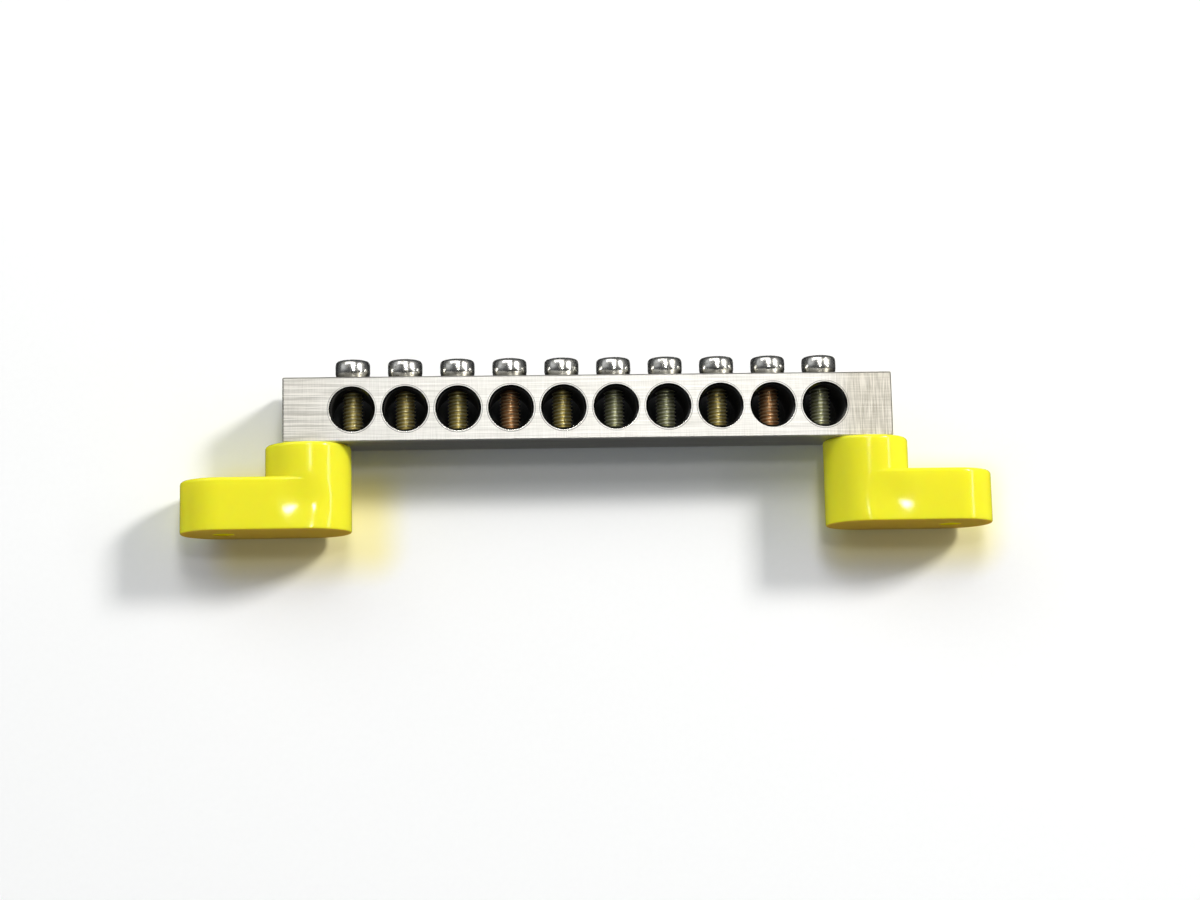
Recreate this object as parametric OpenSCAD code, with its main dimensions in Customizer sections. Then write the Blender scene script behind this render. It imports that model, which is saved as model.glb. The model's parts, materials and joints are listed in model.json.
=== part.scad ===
// Earth terminal bar on two moulded stand-off feet, as it sits on a vertical panel.
// The panel is the plane y = 0, the bar runs along X, the conductors pass along Z
// and the clamp screws are turned from the -Y side. The origin lies on the panel,
// midway between the two mounting holes.

/* [Bar] */
// Length of the bar beyond the outermost terminal, at each end
bar_end = 13; // [11.5:0.1:16]
// Thickness of the bar off the panel, along the clamp screws
bar_h = 12.4; // [12:0.1:14]
// Depth of the bar along the conductors
bar_d = 12; // [11:0.5:14]
// Chamfer round the edges of the bar
bar_edge = 0.25; // [0.1:0.05:0.5]

/* [Terminals] */
// Distance from one terminal to the next
pitch = 10; // [9:0.1:14]
// Diameter of a wire hole
wire_hole_d = 8; // [6:0.1:8.4]
// Chamfer at both mouths of a wire hole
wire_hole_edge = 0.35; // [0.1:0.05:0.5]
// Diameter of the tapped hole of a clamp screw
tapped_d = 4; // [3:0.1:5]
// Countersink at the mouth of a tapped hole
tapped_edge = 0.25; // [0.1:0.05:0.3]

/* [Clamp screws] */
// Diameter of the head
head_d = 6.6; // [6:0.1:7.2]
// Height of the head at its rim
head_h = 3.8; // [3.4:0.1:4.4]
// How far the top of the head bulges above its rim
head_dome = 0.2; // [0.1:0.05:0.4]
// Radius of the round between the side and the top of the head
head_round = 0.7; // [0.3:0.1:0.9]
// Chamfer under the head
head_under = 0.3; // [0.1:0.05:0.4]
// Length of the shank under the head
shank_l = 10; // [9:0.1:10]
// Chamfer at the tip of the shank
tip_edge = 0.7; // [0.4:0.1:0.9]

/* [Feet] */
// Height of the column that carries the bar, off the panel
foot_h = 16.6; // [15:0.1:24]
// Height of the low base that is screwed to the panel
base_h = 10; // [8:0.1:11]
// Width of the foot, the diameter of its round ends
foot_w = 16.3; // [15.5:0.1:18]
// Distance between the mounting hole and the column, along the bar
foot_reach = 16; // [15:0.5:20]
// How far the axis of the column stands in from the end of the bar
column_inset = 4.5; // [4:0.1:5]
// Radius of the upper edges of the foot
foot_round = 0.7; // [0.3:0.1:1]
// Radius of the edge at the panel
foot_base_round = 0.4; // [0.2:0.1:0.6]
// Diameter of the mounting hole
mount_hole_d = 4.3; // [4:0.1:5]

/* [Studs] */
// Diameter of the flange that holds the stud in the column
stud_flange_d = 8; // [6:0.1:9]
// Thickness of the flange
stud_flange_h = 2.5; // [2:0.1:4]
// Height of the underside of the flange off the panel
stud_seat = 6; // [4:0.1:8]
// How far the stud stands out of the column, into the bar
stud_reach = 5; // [4:0.1:6]
// Chamfer at the tip of the stud
stud_tip = 0.5; // [0.2:0.1:0.8]
// Depth left free in the bar beyond the tip of the stud
stud_floor_gap = 1.5; // [0.5:0.1:2]

/* [Fits] */
// Radial running gap between a clamp screw and its tapped hole
screw_gap = 0.05; // [0.02:0.01:0.08]

/* [Hidden] */
$fn = 64;
ways = 10;
cut = 1;
bar_l = (ways - 1) * pitch + 2 * bar_end;
shank_d = tapped_d - 2 * screw_gap;
column_x = bar_l / 2 - column_inset;
bar_mid_h = foot_h + bar_h / 2;
bar_top_h = foot_h + bar_h;
recess_d = 4;
recess_depth = 2.1;
recess_tip_d = 1.4;
recess_wing = 0.95;

// Terminals are numbered from -X to +X.
function terminal_x(n) = (n - (ways + 1) / 2) * pitch;
// How far each screw happens to be turned, so that no two cross recesses line up.
function screw_turn(n) = (n * 37) % 90;

// Everything below is drawn with z as the height off the panel and y up the panel,
// and this stands it up on the panel: height turns to -Y, and up turns to +Z.
module on_panel() {
    rotate([90, 0, 0]) children();
}

// A block centred in x and y from z0 up, with its twelve edges chamfered.
module chamfered_block(l, d, h, z0, edge) {
    translate([0, 0, z0 + h / 2]) intersection() {
        linear_extrude(h, center = true) chamfered_rectangle(l, d, edge);
        rotate([90, 0, 0]) linear_extrude(d, center = true) chamfered_rectangle(l, h, edge);
        rotate([90, 0, 90]) linear_extrude(l, center = true) chamfered_rectangle(d, h, edge);
    }
}

module chamfered_rectangle(w, h, edge) {
    x = w / 2;
    y = h / 2;
    polygon([
        [-x + edge, -y], [x - edge, -y], [x, -y + edge], [x, y - edge],
        [x - edge, y], [-x + edge, y], [-x, y - edge], [-x, -y + edge]
    ]);
}

// The wire hole right through the bar, with a chamfer at each mouth.
module wire_hole() {
    r = wire_hole_d / 2;
    rotate([90, 0, 0]) cylinder(h = bar_d + 2 * cut, r = r, center = true);
    for (side = [-1, 1])
        rotate([side * 90, 0, 0]) translate([0, 0, bar_d / 2 - wire_hole_edge])
            cylinder(h = wire_hole_edge + cut, r1 = r, r2 = r + wire_hole_edge + cut);
}

// The tapped hole from the outer face of the bar into the wire hole.
module tapped_hole() {
    r = tapped_d / 2;
    cylinder(h = bar_h / 2 + cut, r = r);
    translate([0, 0, bar_h / 2 - tapped_edge])
        cylinder(h = tapped_edge + cut, r1 = r, r2 = r + tapped_edge + cut);
}

module bar() {
    color("gainsboro") on_panel() difference() {
        chamfered_block(bar_l, bar_d, bar_h, foot_h, bar_edge);
        for (n = [1 : ways]) translate([terminal_x(n), 0, bar_mid_h]) {
            wire_hole();
            tapped_hole();
        }
        for (side = [-1, 1]) translate([side * column_x, 0, foot_h - cut])
            cylinder(h = cut + stud_reach + stud_floor_gap, r = tapped_d / 2);
    }
}

// A cross recess, sunk from z = 0 and tapering to its floor.
module cross_recess() {
    intersection() {
        translate([0, 0, -recess_depth])
            cylinder(h = recess_depth, r1 = recess_tip_d / 2, r2 = recess_d / 2);
        for (turn = [0, 90]) rotate([0, 0, turn])
            cube([recess_d, recess_wing, 2 * recess_depth], center = true);
    }
}

// A clamp screw's head, seated on z = 0: a chamfer below, a rounded rim and a slightly domed top.
module clamp_head() {
    r = head_d / 2;
    flat_r = r - head_round;
    dome_r = (flat_r * flat_r + head_dome * head_dome) / (2 * head_dome);
    difference() {
        union() {
            cylinder(h = head_under, r1 = r - head_under, r2 = r);
            translate([0, 0, head_under]) cylinder(h = head_h - head_round - head_under, r = r);
            translate([0, 0, head_h - head_round]) rotate_extrude() {
                square([flat_r, head_round]);
                intersection() {
                    translate([flat_r, 0]) circle(r = head_round);
                    translate([flat_r, 0]) square(head_round);
                }
            }
            translate([0, 0, head_h]) intersection() {
                translate([0, 0, head_dome - dome_r]) sphere(r = dome_r);
                cylinder(h = head_dome, r = flat_r);
            }
        }
        translate([0, 0, head_h + head_dome]) cross_recess();
    }
}

module clamp_screw(n) {
    color("silver") on_panel() translate([terminal_x(n), 0, bar_top_h]) {
        rotate([0, 0, screw_turn(n)]) clamp_head();
        translate([0, 0, tip_edge - shank_l]) cylinder(h = shank_l - tip_edge, r = shank_d / 2);
        translate([0, 0, -shank_l])
            cylinder(h = tip_edge, r1 = shank_d / 2 - tip_edge, r2 = shank_d / 2);
    }
}

// Half the outline of a foot of height h, with a round at the panel and one on top.
module wall_profile(h) {
    r = foot_w / 2;
    low = foot_base_round;
    high = foot_round;
    polygon([
        [0, 0], [r - low, 0], [r - low, low], [r, low],
        [r, h - high], [r - high, h - high], [r - high, h], [0, h]
    ]);
    translate([r - low, low]) circle(r = low);
    translate([r - high, h - high]) circle(r = high);
}

// A half-round end of height h, on the side of +X.
module round_end(h) {
    rotate([0, 0, -90]) rotate_extrude(angle = 180) wall_profile(h);
}

// The low base: a round end about the mounting hole, run straight in to the column's axis.
module base() {
    translate([foot_reach, 0, 0]) round_end(base_h);
    for (side = [0, 1]) mirror([0, side, 0]) rotate([90, 0, 90])
        linear_extrude(foot_reach) wall_profile(base_h);
}

// The column: its inner half rises from the panel, and its outer half out of the base.
module column() {
    rotate([0, 0, 180]) round_end(foot_h);
    intersection() {
        round_end(foot_h);
        translate([0, -foot_w, base_h - foot_round]) cube([foot_w, 2 * foot_w, foot_h]);
    }
}

// The part of a stud that is moulded into the column, run on by a length past its top.
module stud_root(past) {
    translate([0, 0, stud_seat]) {
        cylinder(h = stud_flange_h, r = stud_flange_d / 2);
        cylinder(h = foot_h - stud_seat + past, r = shank_d / 2);
    }
}

// One foot, with its column at the origin and its base towards +X.
module foot() {
    difference() {
        union() {
            column();
            base();
        }
        translate([foot_reach, 0, -cut]) cylinder(h = base_h + 2 * cut, r = mount_hole_d / 2);
        stud_root(cut);
    }
}

module foot_right() {
    color([0.93, 0.92, 0.2]) on_panel() translate([column_x, 0, 0]) foot();
}

module foot_left() {
    color([0.93, 0.92, 0.2]) on_panel() translate([-column_x, 0, 0]) rotate([0, 0, 180]) foot();
}

// The stud that is moulded into a column and screwed into the bar.
module stud(side) {
    r = shank_d / 2;
    color("silver") on_panel() translate([side * column_x, 0, 0]) {
        stud_root(stud_reach - stud_tip);
        translate([0, 0, foot_h + stud_reach - stud_tip])
            cylinder(h = stud_tip, r1 = r, r2 = r - stud_tip);
    }
}

bar();
foot_left();
foot_right();
stud(-1);  // stud_left
stud(1);  // stud_right
clamp_screw(1);  // clamp_screw_1
clamp_screw(2);  // clamp_screw_2
clamp_screw(3);  // clamp_screw_3
clamp_screw(4);  // clamp_screw_4
clamp_screw(5);  // clamp_screw_5
clamp_screw(6);  // clamp_screw_6
clamp_screw(7);  // clamp_screw_7
clamp_screw(8);  // clamp_screw_8
clamp_screw(9);  // clamp_screw_9
clamp_screw(10);  // clamp_screw_10
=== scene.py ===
# %% [markdown]
# # Earth terminal bar
# A plated brass bar stands on two yellow moulded feet. Ten clamp screws come down through
# it, and each one presses a conductor that is pushed through the hole below its head.
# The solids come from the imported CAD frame. This script gives them their finishes, and
# models the screws afresh, because only here do they get their threads.

# %% Load the frame
import json
import math

import bpy
from mathutils import Matrix, Vector


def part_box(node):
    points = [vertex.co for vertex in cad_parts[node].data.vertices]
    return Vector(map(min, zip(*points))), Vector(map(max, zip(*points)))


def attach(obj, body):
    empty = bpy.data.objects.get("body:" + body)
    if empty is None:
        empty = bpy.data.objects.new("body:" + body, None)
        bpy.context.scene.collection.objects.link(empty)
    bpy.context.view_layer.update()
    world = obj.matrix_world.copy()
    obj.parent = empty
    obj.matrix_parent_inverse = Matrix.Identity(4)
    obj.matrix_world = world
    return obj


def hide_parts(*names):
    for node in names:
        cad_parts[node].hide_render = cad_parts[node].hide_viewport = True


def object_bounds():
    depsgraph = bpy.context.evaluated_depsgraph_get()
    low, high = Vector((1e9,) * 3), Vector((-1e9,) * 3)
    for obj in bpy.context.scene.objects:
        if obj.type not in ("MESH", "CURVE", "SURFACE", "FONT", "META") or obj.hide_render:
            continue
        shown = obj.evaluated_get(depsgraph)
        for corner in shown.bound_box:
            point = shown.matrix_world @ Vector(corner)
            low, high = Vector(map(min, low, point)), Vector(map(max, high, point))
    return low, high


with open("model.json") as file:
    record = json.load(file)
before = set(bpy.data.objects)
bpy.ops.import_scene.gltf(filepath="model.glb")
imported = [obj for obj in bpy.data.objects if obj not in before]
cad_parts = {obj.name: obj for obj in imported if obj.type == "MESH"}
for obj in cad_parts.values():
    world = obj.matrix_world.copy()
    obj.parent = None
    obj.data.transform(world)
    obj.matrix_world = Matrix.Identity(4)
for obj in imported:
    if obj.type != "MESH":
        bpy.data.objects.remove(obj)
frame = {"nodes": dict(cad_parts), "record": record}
cad_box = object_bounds()
nodes = frame["nodes"]
ways = sum(name.startswith("clamp_screw_") for name in nodes)
print("nodes", len(nodes), "clamp screws", ways)


# %% [markdown]
# ## Measures
# Every place is read from the frame, so that the scene follows the CAD part if a size
# changes there. The bar's box gives its faces, and the screws' boxes give the pitch.

# %% Measures of the frame
MM = 0.001
bar_low, bar_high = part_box("bar")
foot_low, foot_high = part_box("foot_right")
first_low, first_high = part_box("clamp_screw_1")
second_low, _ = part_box("clamp_screw_2")
pitch = second_low.x - first_low.x
first_x = (first_low.x + first_high.x) / 2
bar_middle = (bar_low + bar_high) / 2
bar_depth = bar_high.z - bar_low.z
foot_radius = (foot_high.z - foot_low.z) / 2
column_x = foot_low.x + foot_radius
print("pitch", round(pitch / MM, 3), "column at", round(column_x / MM, 3), "mm")


# %% [markdown]
# ## Camera
# The bar is seen from well in front, a little from the side of its panel, with the screw
# heads away from the viewer. A camera's own axes are right, up and backwards, so the three
# directions below are the columns of its turn. A 67 mm lens keeps the ends from spreading.

# %% Camera
camera_data = bpy.data.cameras.new("viewpoint")
camera = bpy.data.objects.new("viewpoint", camera_data)
bpy.context.scene.collection.objects.link(camera)
camera_place = Vector((27.63, 47.81, 424.58)) * MM
looking = Vector((-0.0691, -0.1467, -0.9868)).normalized()
image_up = Vector((-0.0126, -0.9889, 0.1479))
image_right = looking.cross(image_up).normalized()
image_up = image_right.cross(looking)
turn = Matrix((image_right, image_up, -looking)).transposed().to_4x4()
camera.matrix_world = Matrix.Translation(camera_place) @ turn
camera_data.lens = 67.24
camera_data.sensor_width = 36
camera_data.clip_start = 0.01
bpy.context.scene.camera = camera
print("camera", tuple(round(c, 3) for c in camera.location))


# %% [markdown]
# ## Making and selecting
# An operator works on whatever is selected, and loading the frame leaves its nodes
# selected. So each new piece starts from nothing selected, and its vertices, edges and
# faces are picked in code, by their place.


# %% Selecting
def only(piece):
    """Makes a piece the one that is selected and active."""
    if bpy.context.mode != "OBJECT":
        bpy.ops.object.mode_set(mode="OBJECT")
    bpy.ops.object.select_all(action="DESELECT")
    piece.select_set(True)
    bpy.context.view_layer.objects.active = piece


def new_piece(name):
    """Names the primitive that was just added, and opens it in edit mode."""
    piece = bpy.context.active_object
    piece.name = name
    piece.data.name = name
    bpy.ops.object.mode_set(mode="EDIT")
    return piece


# %% [markdown]
# ## Floor
# The floor is a wide pale disc. It lies just under the lowest side of the feet, so the
# part rests on it and throws its shadow down on it. Gloss and metal don't mirror it: they
# mirror the dim room, and that keeps their edges and undersides dark against the white.

# %% Floor
bpy.ops.object.select_all(action="DESELECT")
bpy.ops.mesh.primitive_circle_add(
    vertices=96, radius=6, fill_type="NGON", location=(0, 0, cad_box[0].z - 0.02 * MM)
)
floor = bpy.context.active_object
floor.name = "floor"
floor.visible_glossy = False


# %% [markdown]
# ## Finishes as expressions
# A finish is a small network of nodes, and most of the nodes are sums. Two classes keep
# it readable. Wire wraps a socket, so that 1 - mask adds its own Math node. Network holds
# the nodes, and its add method makes any node from a type, its settings and its inputs.


# %% Shader helpers
class Wire:
    """One output socket that takes part in Python expressions."""

    def __init__(self, network, socket):
        self.network, self.socket = network, socket

    def math(self, operation, *others):
        """A Math node on this socket and the others."""
        return self.network.add("ShaderNodeMath", {"operation": operation}, [self, *others])

    def __add__(self, other):
        return self.math("ADD", other)

    def __sub__(self, other):
        return self.math("SUBTRACT", other)

    def __mul__(self, other):
        return self.math("MULTIPLY", other)

    def __truediv__(self, other):
        return self.math("DIVIDE", other)

    def __radd__(self, other):
        return self.math("ADD", other)

    def __rmul__(self, other):
        return self.math("MULTIPLY", other)

    def __rsub__(self, other):
        return self.network.add("ShaderNodeMath", {"operation": "SUBTRACT"}, [other, self])

    def distance(self):
        """How far the value is from nought."""
        return self.math("ABSOLUTE")

    def step(self, low, high):
        """Runs smoothly from 0 at low to 1 at high."""
        settings = {"interpolation_type": "SMOOTHSTEP"}
        inputs = {"Value": self, "From Min": low, "From Max": high}
        return self.network.add("ShaderNodeMapRange", settings, inputs)


class Network:
    """The nodes of a material or of the world, and the one way they are made."""

    def __init__(self, owner):
        owner.use_nodes = True
        self.owner = owner
        self.nodes = owner.node_tree.nodes
        self.links = owner.node_tree.links
        self.nodes.clear()

    def add(self, kind, settings=None, inputs=None, output=0):
        """Makes a node: settings first, then the values or links of its sockets."""
        node = self.nodes.new(kind)
        for name, value in (settings or {}).items():
            setattr(node, name, value)
        sockets = enumerate(inputs) if isinstance(inputs, list) else (inputs or {}).items()
        for name, value in sockets:
            if isinstance(value, Wire):
                self.links.new(value.socket, node.inputs[name])
            else:
                node.inputs[name].default_value = value
        return Wire(self, node.outputs[output]) if node.outputs else None

    def place(self):
        """The point on the piece, in metres, as the socket and its X, Y and Z."""
        point = self.add("ShaderNodeTexCoord", output=3)
        split = self.add("ShaderNodeSeparateXYZ", {}, [point])
        axes = [Wire(self, split.socket.node.outputs[i]) for i in range(3)]
        return point, axes

    def stretched(self, point, scale):
        """The point with its axes scaled apart, which draws a pattern out along one of them."""
        return self.add("ShaderNodeMapping", {}, {"Vector": point, "Scale": scale})

    def noise(self, point, scale, detail=2.0, roughness=0.5):
        """Cloudy noise from 0 to 1, with scale features to the metre."""
        inputs = {"Vector": point, "Scale": scale, "Detail": detail, "Roughness": roughness}
        return self.add("ShaderNodeTexNoise", {}, inputs)

    def mix(self, share, first, second):
        """A colour between two colours."""
        colours = [c if isinstance(c, Wire) else (*c, 1) for c in (first, second)]
        node = self.add("ShaderNodeMix", {"data_type": "RGBA"}, {0: share, 6: colours[0]}, 2)
        socket = node.socket.node.inputs[7]
        if isinstance(colours[1], Wire):
            self.links.new(colours[1].socket, socket)
        else:
            socket.default_value = colours[1]
        return node

    def bump(self, height, distance, strength=1.0, normal=None):
        """A bump from a height of 0 to 1 that stands for a distance in metres."""
        inputs = {"Height": height, "Distance": distance, "Strength": strength}
        if normal is not None:
            inputs["Normal"] = normal
        return self.add("ShaderNodeBump", {}, inputs)

    def surface(self, **inputs):
        """The shader itself, with underscores in the names of its sockets for spaces."""
        named = {name.replace("_", " "): value for name, value in inputs.items()}
        if not isinstance(named.get("Base Color"), Wire):
            named["Base Color"] = (*named["Base Color"], 1)
        shader = self.add("ShaderNodeBsdfPrincipled", {}, named)
        self.add("ShaderNodeOutputMaterial", {}, [shader])
        return self.owner


def finish(name):
    """The empty network of a new material."""
    return Network(bpy.data.materials.new(name))


def dress(piece, material):
    """Puts one material in every slot of a piece."""
    if not piece.data.materials:
        piece.data.materials.append(material)
    for slot in piece.material_slots:
        slot.material = material


# %% [markdown]
# ## Light
# The part lies in a pale studio. The key is a soft box high beyond the screw heads and far
# to the right, and throws the shadows. A small lamp just over the viewer's head lights the
# threads inside the holes, is what the middle of the bar mirrors, and makes the bright spots
# in the feet. The front box and the ceiling fill from farther up, and a strip far to the
# right draws the upright streaks on round walls.

# %% Light
RIGHT, UP, FRONT = Vector((-1, 0, 0)), Vector((0, -1, 0)), Vector((0, 0, 1))


def soft_box(name, right, up, distance, size, power, colour):
    """An area light aimed at the part. Right and up are its slopes from straight in front."""
    data = bpy.data.lights.new(name, "AREA")
    data.shape = "RECTANGLE"
    data.size, data.size_y = size
    data.energy = power
    data.color = colour
    light = bpy.data.objects.new(name, data)
    bpy.context.scene.collection.objects.link(light)
    towards = (FRONT + right * RIGHT + up * UP).normalized()
    across = UP.cross(towards).normalized()
    axes = Matrix((across, towards.cross(across), towards)).transposed().to_4x4()
    light.matrix_world = Matrix.Translation(bar_middle + towards * distance) @ axes


WHITE, WARM, WARMER = (1.0, 1.0, 1.0), (1.0, 0.995, 0.98), (1.0, 0.985, 0.96)
soft_box("key", right=1.15, up=0.76, distance=3.0, size=(0.50, 0.50), power=66, colour=WARMER)
soft_box("lamp", right=0.066, up=0.20, distance=0.75, size=(0.06, 0.06), power=0.48, colour=WARM)
soft_box("front", right=0.05, up=0.60, distance=1.2, size=(0.32, 0.36), power=3.3, colour=WHITE)
soft_box("ceiling", right=-0.40, up=1.20, distance=2.0, size=(2.0, 0.9), power=9.5, colour=WHITE)
soft_box("strip", right=1.55, up=0.30, distance=1.4, size=(0.12, 0.5), power=1.2, colour=WHITE)
print("lights", [data.name for data in bpy.data.lights])


# %% [markdown]
# ## The room
# The room is dim, but for windows on its left and its right, which lift the shadows. The
# left ones are the brighter, and cool, as daylight is. A Light Path node tells the rays
# apart: the viewer sees a plain pale room, and mirroring surfaces see less of the windows
# and a faint band of walls, so that the plating is never quite black.

# %% Room
world = bpy.data.worlds.new("studio")
bpy.context.scene.world = world
room = Network(world)
direction = room.add("ShaderNodeTexCoord")
split = room.add("ShaderNodeSeparateXYZ", {}, [direction])
leftward, downward, height = (Wire(room, split.socket.node.outputs[i]) for i in range(3))
rays = room.add("ShaderNodeLightPath")
looked_at, mirrored = (Wire(room, rays.socket.node.outputs[i]) for i in (0, 3))
left = leftward.step(0.35, 0.95)
right = (0 - leftward).step(0.35, 0.95)
off_middle = downward.distance().step(0.12, 0.40)
windows = (2.0 * left + 0.7 * right) * off_middle * height.step(-0.03, 0.2)
windows = windows * (1 - 0.75 * mirrored)
above = height.step(0.0, 0.9)
below = (0 - height).step(0.5, 0.9)
walls = height.step(-0.55, -0.25) * (1 - height.step(0.45, 0.70))
glow = 0.04 + 0.04 * above + 0.03 * below + windows + mirrored * (0.07 * walls - 0.015)
plain = 0.93
strength = glow * (1 - looked_at) + plain * looked_at
cool = left * (1 - looked_at) * (1 - mirrored)
tone = room.mix(cool, (0.96, 0.975, 1.0), (0.78, 0.90, 1.0))
backdrop = room.add("ShaderNodeBackground", {}, {"Color": tone, "Strength": strength})
room.add("ShaderNodeOutputWorld", {}, [backdrop])
bpy.context.scene.view_settings.view_transform = "Standard"
print("room", len(room.nodes), "nodes")


# %% [markdown]
# ## The floor's finish
# White card is matt, with a fine grain. The card right under the bar is painted near-black
# as painted shadow, and the card beside the feet is painted yellow as painted bounce light.
# Both are drawn in, by the distance from the bar's box and from the feet.

# %% Finish of the floor
def floor_finish():
    """Matt white card, with painted shadow under the bar and painted yellow bounce light beside
    the feet.
    """
    f = finish("white_card")
    point, (x, y, _) = f.place()
    grain = f.noise(point, 900, 3)
    colour = f.mix(grain, (0.93, 0.93, 0.925), (0.96, 0.96, 0.955))
    # painted shadow: a near-black patch the size of the bar, soft at its edges
    reach = (bar_high - bar_low) / 2
    lengthwise = 1 - (x - bar_middle.x).distance().step(reach.x - 3 * MM, reach.x)
    crosswise = 1 - (y - bar_middle.y).distance().step(reach.y - 2 * MM, reach.y)
    colour = f.mix(lengthwise * crosswise, colour, (0.06, 0.06, 0.06))
    # how far a point is from a box near each foot. The key shines on the inner side of the
    # right foot, so its box stands inwards there, and the left foot's stands outwards
    inward = 9 * MM * x.math("GREATER_THAN", 0.0) - 2 * MM
    half_length = (foot_high.x - foot_low.x) / 2 - 4 * MM
    beside = x.distance() - (foot_low.x + foot_high.x) / 2 + inward
    beside = (beside.distance() - half_length).math("MAXIMUM", 0.0)
    beyond = (y - 2 * MM).math("MAXIMUM", 0.0)
    away = (beside * beside + beyond * beyond).math("SQRT")
    # painted bounce light: the card near the feet is coloured yellow, as if lit by the plastic
    painted_bounce = (1 - away.step(0.0, 9 * MM)) * y.step(-16 * MM, -8 * MM)
    colour = f.mix(painted_bounce * 0.8, colour, (0.96, 0.86, 0.36))
    return f.surface(Base_Color=colour, Roughness=0.9)


dress(floor, floor_finish())


# %% [markdown]
# ## The bar's finish
# The bar is brass with a thin bright plating, drawn through a die and then brushed. So
# long fine lines run along it, crossed by upright marks where it was handled at its right
# end. The bores of the wire holes are painted near-black as painted shade, and each mouth
# has a polished chamfer with a thin dirty burr round it; the chamfer is painted dark from
# its middle up, as a painted reflection of the bore. All of these are noises and rings in
# one network, because the bar is one piece with one slot.


# %% Finish of the bar
hole_r, rim_r, burr_r = 4.0, 4.36, 4.60
print("wire holes", 2 * hole_r, "mm, burr at", 2 * burr_r, "mm")


def bar_finish():
    """Brushed plating, with the bores where the wires go through painted near-black as shade."""
    f = finish("brushed_plating")
    point, (x, y, z) = f.place()
    along = f.noise(f.stretched(point, (18, 900, 900)), 4, 4, 0.6)
    fine = f.noise(f.stretched(point, (60, 2600, 2600)), 3, 2)
    across = f.noise(f.stretched(point, (2400, 70, 2400)), 3, 3)
    cloud = f.noise(point, 90, 3)
    # the distance from the nearest terminal's axis, seen along the wires
    steps = (x - (first_x - pitch / 2)) / pitch
    sideways = (steps.math("FRACT") - 0.5) * pitch
    off_centre = y - bar_middle.y
    radial = (sideways * sideways + off_centre * off_centre).math("SQRT") / MM
    row_end = ways * pitch / 2
    among = 1 - (x - bar_middle.x).distance().step(row_end - 0.1 * MM, row_end)
    face = bar_depth / 2
    inside = 1 - z.distance().step(face - 0.42 * MM, face - 0.36 * MM)
    bore = (1 - radial.step(hole_r, hole_r + 0.06)) * among * inside
    rim = (1 - radial.step(rim_r - 0.02, rim_r + 0.02)) * among
    burr = radial.step(burr_r - 0.10, burr_r - 0.02)
    burr = burr * (1 - radial.step(burr_r + 0.02, burr_r + 0.10)) * among
    right_end = 1 - x.step(bar_low.x + 6 * MM, bar_low.x + 15 * MM)
    left_end = x.step(bar_high.x - 16 * MM, bar_high.x - 4 * MM)
    brushed = along * 0.45 + fine * 0.30 + across * 0.25
    brushed = brushed + right_end * (across - 0.5) + left_end * (along - 0.5)
    bright = brushed.step(0.28, 0.72)
    plated = f.mix(bright, (0.56, 0.545, 0.50), (0.90, 0.885, 0.84))
    handled = f.mix(bright, (0.36, 0.33, 0.26), (0.66, 0.62, 0.53))
    plated = f.mix(right_end * 0.8, plated, handled)
    # painted reflection: the chamfer is coloured near-black from its middle up, fading out at its
    # lowest point, as if it mirrored the dark bore
    painted_rim_shade = rim * (0 - off_centre / MM).step(-4.2, 0.0)
    plated = f.mix(painted_rim_shade, plated, (0.03, 0.03, 0.03))
    plated = f.mix(left_end * 0.35, plated, handled)
    plated = f.mix(burr * cloud.step(0.25, 0.50) * 0.85, plated, (0.13, 0.12, 0.11))
    # painted shade: the bores are coloured near-black, matt and not metal
    colour = f.mix(bore, plated, (0.008, 0.007, 0.005))
    roughness = 0.38 + 0.12 * brushed + 0.10 * cloud
    roughness = roughness * (1 - rim) + 0.15 * rim
    roughness = roughness * (1 - bore) + bore
    bump = f.bump(brushed * (1 - rim), 0.012 * MM, 0.5)
    return f.surface(Base_Color=colour, Metallic=1 - bore, Roughness=roughness, Normal=bump)


dress(nodes["bar"], bar_finish())


# %% [markdown]
# ## The feet's finish
# The feet are one shot of glossy yellow plastic each. As it cools, thick plastic sinks a
# little where the column meets the base, and that hollow catches the light. Their
# undersides are painted a darker orange, as painted shade.


# %% Finish of the feet
sink_r, sink_depth = 6 * MM, 0.45 * MM


def foot_finish(name, side, sink_out, sink_up):
    """Glossy yellow plastic with a sink mark, so far out from the column and off the panel, and
    painted shade on its underside.
    """
    f = finish(name)
    point, (x, y, _) = f.place()
    cloud = f.noise(point, 60, 2)
    grain = f.noise(point, 1500, 2)
    # painted shade: the underside, which faces the panel, turns a darker orange; it is also
    # rougher
    under = (y + 0.25 * MM).step(0.0, 0.2 * MM)
    colour = f.mix(cloud, (0.82, 0.765, 0.026), (0.87, 0.82, 0.036))
    colour = f.mix(under, colour, (0.56, 0.34, 0.004))
    sink_x = x - side * (column_x + sink_out)
    sink_y = y + sink_up
    sink = (sink_x * sink_x + sink_y * sink_y).math("SQRT")
    bump = f.bump(sink.step(0.0, sink_r), sink_depth)
    bump = f.bump(cloud, 0.06 * MM, 1.0, bump)
    bump = f.bump(grain, 0.0015 * MM, 1.0, bump)
    return f.surface(
        Base_Color=colour, Roughness=0.10 + 0.04 * cloud + 0.4 * under, Normal=bump, IOR=1.48,
        Subsurface_Weight=0.6, Subsurface_Radius=(1.0, 0.75, 0.06), Subsurface_Scale=4 * MM,
    )


dress(nodes["foot_right"], foot_finish("yellow_plastic_right", 1, 0.3 * MM, 5.1 * MM))
dress(nodes["foot_left"], foot_finish("yellow_plastic_left", -1, 3.2 * MM, 4.4 * MM))
print("sink marks", 2 * sink_r / MM, "mm wide")


# %% [markdown]
# ## The screws' finishes
# The heads are tumbled bright and show small dents and dull spots, with painted shade in
# the corner where they meet the bar. The threads keep more of the brass or copper colour
# of the metal under the plating, with painted shade in their roots, and each is a bit
# different.


# %% Finishes of the screws
thread_pitch = 0.7 * MM
crest_r = 1.95 * MM
root_r = crest_r - 0.42 * thread_pitch


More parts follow.
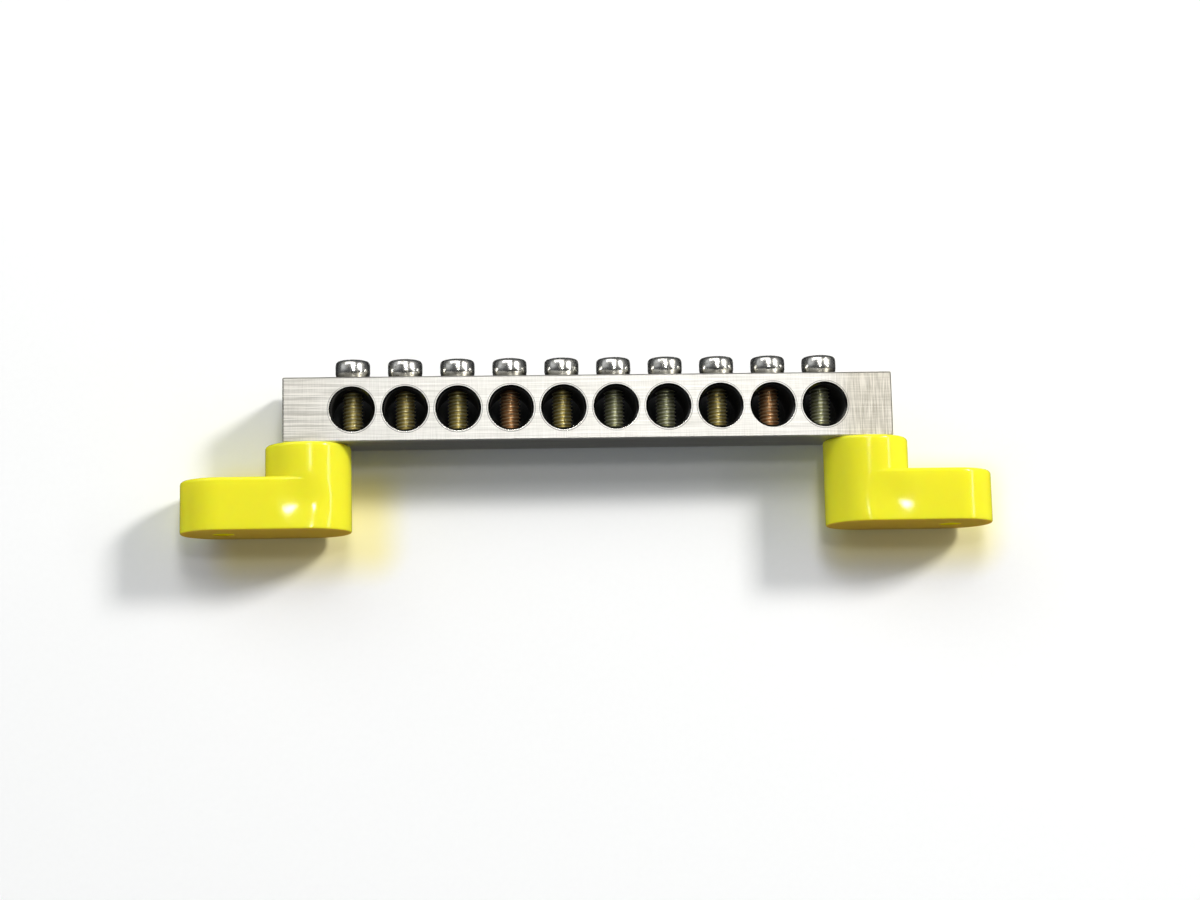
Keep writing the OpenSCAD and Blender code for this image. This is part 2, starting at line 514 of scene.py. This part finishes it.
def head_finish():
    """Bright plating with small dull marks and painted shade low down, on a side that swells."""
    f = finish("bright_plating")
    point, (_, y, _) = f.place()
    above = (bar_low.y - y) / MM
    barrel = 0.60 * above.step(0.0, 1.6) - above.step(1.4, 4.2)
    swell = f.noise(point, 260, 2)
    marks = f.noise(point, 1600, 3, 0.6).step(0.54, 0.66)
    colour = f.mix(marks, (0.90, 0.89, 0.84), (0.50, 0.49, 0.42))
    # painted shade: low on the side, near the bar, the colour runs to near-black
    seat_shade = (1 - (above + 2.0 * swell - 1.0).step(0.7, 1.7)) * 0.75
    colour = f.mix(seat_shade, colour, (0.10, 0.095, 0.07))
    bump = f.bump(barrel, 0.28 * MM)
    bump = f.bump(swell, 0.06 * MM, 1.0, bump)
    return f.surface(
        Base_Color=colour, Metallic=1.0, Roughness=0.18 + 0.15 * marks, Normal=bump
    )


def thread_finish(name, bright, dull):
    """The metal of a thread, with painted shade in its roots and bright on its crests."""
    f = finish(name)
    point, (x, _, z) = f.place()
    steps = (x - (first_x - pitch / 2)) / pitch
    aside = (steps.math("FRACT") - 0.5) * pitch
    radial = (aside * aside + z * z).math("SQRT")
    crest = radial.step(root_r, crest_r - 0.03 * MM)
    cloud = f.noise(point, 500, 2)
    # painted shade: the roots are coloured dull and dark, the crests bright
    colour = f.mix(crest * 0.85 + cloud * 0.3 - 0.1, dull, bright)
    return f.surface(Base_Color=colour, Metallic=0.8, Roughness=0.46 - 0.12 * crest)


bright_head = head_finish()
thread_brass = thread_finish("thread_brass", (1.0, 0.94, 0.58), (0.62, 0.50, 0.15))
thread_copper = thread_finish("thread_copper", (1.0, 0.74, 0.44), (0.58, 0.30, 0.12))
thread_green = thread_finish("thread_green", (0.96, 0.97, 0.76), (0.48, 0.48, 0.26))


# %% [markdown]
# ## A clamp screw
# The screw is a turned head on a threaded shank. The head could be a cylinder with
# bevelled edges, but its side swells, so its outline is drawn vertex by vertex and spun
# round the axis. A closed outline needs no bevels and has its poles on the axis.


# %% Helpers for turned shapes
def outline(name, points):
    """A chain of vertices in the XZ plane, grown from one vertex by extruding it."""
    bpy.ops.object.select_all(action="DESELECT")
    bpy.ops.mesh.primitive_plane_add(size=1 * MM)
    piece = new_piece(name)
    bpy.ops.mesh.select_all(action="SELECT")
    bpy.ops.mesh.merge(type="CENTER")
    start = Vector(points[0])
    bpy.ops.transform.translate(value=start)
    for point in points[1:]:
        step = Vector(point) - start
        bpy.ops.mesh.extrude_vertices_move(TRANSFORM_OT_translate={"value": step})
        start = Vector(point)
    return piece


def close_up():
    """Welds what touches and turns every face outwards."""
    bpy.ops.mesh.select_all(action="SELECT")
    bpy.ops.mesh.remove_doubles(threshold=0.0005 * MM)
    bpy.ops.mesh.normals_make_consistent(inside=False)
    bpy.ops.object.mode_set(mode="OBJECT")


def turned(name, rings, steps=72):
    """A closed shape turned round Z from (radius, height) pairs that start and end on the axis."""
    piece = outline(name, [(radius, 0, height) for radius, height in rings])
    bpy.ops.mesh.select_all(action="SELECT")
    bpy.ops.mesh.spin(steps=steps, angle=math.tau, center=(0, 0, 0), axis=(0, 0, 1))
    close_up()
    return piece


def combine(piece, other, operation):
    """Applies a Boolean with another piece, which is then gone."""
    only(piece)
    cut = piece.modifiers.new(operation.lower(), "BOOLEAN")
    cut.object = other
    cut.operation = operation
    cut.solver = "EXACT"
    bpy.ops.object.modifier_apply(modifier=cut.name)
    bpy.data.objects.remove(other)


# %% [markdown]
# The thread is one tooth's outline, carried round and up by the Screw modifier. It is wound
# longer than it is needed and cut flat at both ends, because a bisect with its fill closes
# the rod, and the Booleans that follow need a closed shape.


# %% The thread
def threaded_rod(name, low, high):
    """A threaded rod round Z that runs past both heights, for trimming."""
    tooth = [
        (root_r, 0, 0), (root_r, 0, 0.14), (crest_r - 0.03 * MM, 0, 0.38), (crest_r, 0, 0.44),
        (crest_r, 0, 0.56), (crest_r - 0.03 * MM, 0, 0.62), (root_r, 0, 0.86), (root_r, 0, 1),
    ]
    start = low - 2 * thread_pitch
    points = [(r, 0, start + share * thread_pitch) for r, _, share in tooth]
    piece = outline(name, points)
    bpy.ops.object.mode_set(mode="OBJECT")
    winding = piece.modifiers.new("winding", "SCREW")
    winding.screw_offset = thread_pitch
    winding.iterations = math.ceil((high - low) / thread_pitch) + 4
    winding.steps = winding.render_steps = 32
    winding.use_merge_vertices = True
    winding.merge_threshold = 0.0005 * MM
    bpy.ops.object.modifier_apply(modifier=winding.name)
    bpy.ops.object.mode_set(mode="EDIT")
    for height, above in ((low, False), (high, True)):
        bpy.ops.mesh.select_all(action="SELECT")
        bpy.ops.mesh.bisect(
            plane_co=(0, 0, height), plane_no=(0, 0, 1), use_fill=True,
            clear_inner=not above, clear_outer=above, threshold=0.00001 * MM,
        )
    close_up()
    return piece


print("thread", round(crest_r / MM, 2), round(root_r / MM, 2))


# %% [markdown]
# The cross recess is made as the punch that presses it: a square bar whose four sides
# are drawn out into wings, and whose lower end is squeezed to a smaller cross.


# %% The cross recess
def pick(piece, kind, test):
    """Selects the vertices or the faces of a piece that pass a test on where they are."""
    bpy.ops.mesh.select_mode(type=kind)
    bpy.ops.mesh.select_all(action="DESELECT")
    bpy.ops.object.mode_set(mode="OBJECT")
    for item in piece.data.polygons if kind == "FACE" else piece.data.vertices:
        item.select = test(item)
    bpy.ops.object.mode_set(mode="EDIT")


def cross_punch(top, wing=0.95 * MM, span=4.0 * MM, depth=2.1 * MM, tip_span=1.5 * MM):
    """The punch of a cross recess that goes down from the height of the head's top."""
    proud = 0.4 * MM
    bpy.ops.object.select_all(action="DESELECT")
    bpy.ops.mesh.primitive_cube_add(size=1, location=(0, 0, top + (proud - depth) / 2))
    bpy.context.active_object.scale = (wing, wing, depth + proud)
    bpy.ops.object.transform_apply(location=True, rotation=False, scale=True)
    punch = new_piece("cross_punch")
    for side in (Vector((1, 0, 0)), Vector((0, 1, 0)), Vector((-1, 0, 0)), Vector((0, -1, 0))):
        pick(punch, "FACE", lambda f: f.normal.dot(side) > 0.9 and f.center.dot(side) < wing)
        arm = side * (span - wing) / 2
        bpy.ops.mesh.extrude_region_move(TRANSFORM_OT_translate={"value": arm})
    pick(punch, "VERT", lambda vertex: vertex.co.z < top - depth / 2)
    squeeze = tip_span / span
    bpy.ops.transform.resize(value=(squeeze, squeeze, 1), center_override=(0, 0, top - depth))
    close_up()
    return punch


# %% [markdown]
# The rod is trimmed by its overlap with a sleeve that narrows to the taper of the tip. The
# head loses the punch's shape and gains the rod's, and what lies below the seat takes the
# finish of the thread.


# %% The clamp screw
def tapered_sleeve(name, low, high, taper):
    """What a rod is trimmed with: a turned sleeve that narrows at its lower end."""
    wide = crest_r + 0.25 * MM
    narrow = crest_r - taper
    shoulder = low + wide - narrow
    return turned(name, [(0, low), (narrow, low), (wide, shoulder), (wide, high), (0, high)])


def screw(name, head_rings, shank, taper, thread_material):
    """A screw round Z with its seat at height 0, its head above and its thread below."""
    rod = threaded_rod("rod", -shank - thread_pitch, 0.8 * MM)
    combine(rod, tapered_sleeve("sleeve", -shank, 0.5 * MM, taper), "INTERSECT")
    piece = turned(name, head_rings)
    combine(piece, cross_punch(head_rings[-1][1]), "DIFFERENCE")
    combine(piece, rod, "UNION")
    dress(piece, bright_head)
    piece.data.materials.append(thread_material)
    for face in piece.data.polygons:
        face.material_index = int(face.center.z < -0.01 * MM)
    bpy.ops.object.shade_smooth_by_angle(angle=math.radians(38))
    print(name, len(piece.data.polygons), "faces")
    return piece


head_h = bar_low.y - first_low.y
head_r = (first_high.x - first_low.x) / 2
shank_l = first_high.y - bar_low.y
clamp_rings = [
    (0, 0), (2.95, 0), (3.10, 0.12), (3.14, 0.40), (3.17, 0.90), (3.23, 1.25), (3.30, 1.60),
    (3.30, 2.85), (3.27, 3.30), (3.17, 3.63), (2.96, 3.85), (2.65, 3.95), (2.2, 3.97), (0, 4.0),
]
clamp_rings = [(r / 3.3 * head_r, h / 4.0 * head_h) for r, h in clamp_rings]
model_screw = screw("clamp_screw_model", clamp_rings, shank_l, 0.7 * MM, thread_brass)


# %% [markdown]
# ## Ten clamp screws
# The model is copied to each terminal, turned a little differently each time, as screws
# are. A copy's place is applied to its mesh, so its object stays at the origin.

# %% Copies of the clamp screw
body_of_node = {
    node: body for body, held in frame["record"]["behaviour"]["bodies"].items() for node in held
}


def place_copy(model, name, place, turn, tilt):
    """A copy of a screw with its own mesh, set down at a place and put on its body."""
    only(model)
    bpy.ops.object.duplicate(linked=False)
    copy = bpy.context.active_object
    copy.name = name + "_threaded"
    copy.data.name = copy.name
    spin = Matrix.Rotation(math.radians(turn), 4, "Z")
    lean = Matrix.Rotation(math.radians(tilt), 4, "X")
    copy.matrix_world = Matrix.Translation(place) @ lean @ spin
    bpy.ops.object.transform_apply(location=True, rotation=True, scale=True)
    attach(copy, body_of_node[name])
    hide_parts(name)
    return copy


copper_screws, green_screws = (2, 7), (1, 4, 5)
thread_metal = {n: thread_copper for n in copper_screws}
thread_metal.update({n: thread_green for n in green_screws})
for n in range(1, ways + 1):
    x = first_x + (n - 1) * pitch
    seat = Vector((x, bar_low.y, bar_middle.z))
    made = place_copy(model_screw, f"clamp_screw_{n}", seat, (n * 37) % 90, 90)
    made.material_slots[1].material = thread_metal.get(n, thread_brass)
bpy.data.objects.remove(model_screw)
print("clamp screws placed", ways)


# %% [markdown]
# ## The studs
# A threaded stud is moulded into each column and screwed into the bar. Nothing of it
# shows, so the CAD solid stays as it is and only takes the metal of the screws.

# %% Studs
for name in nodes:
    if name.startswith("stud_"):
        dress(nodes[name], thread_brass)
        print(name, "dressed")
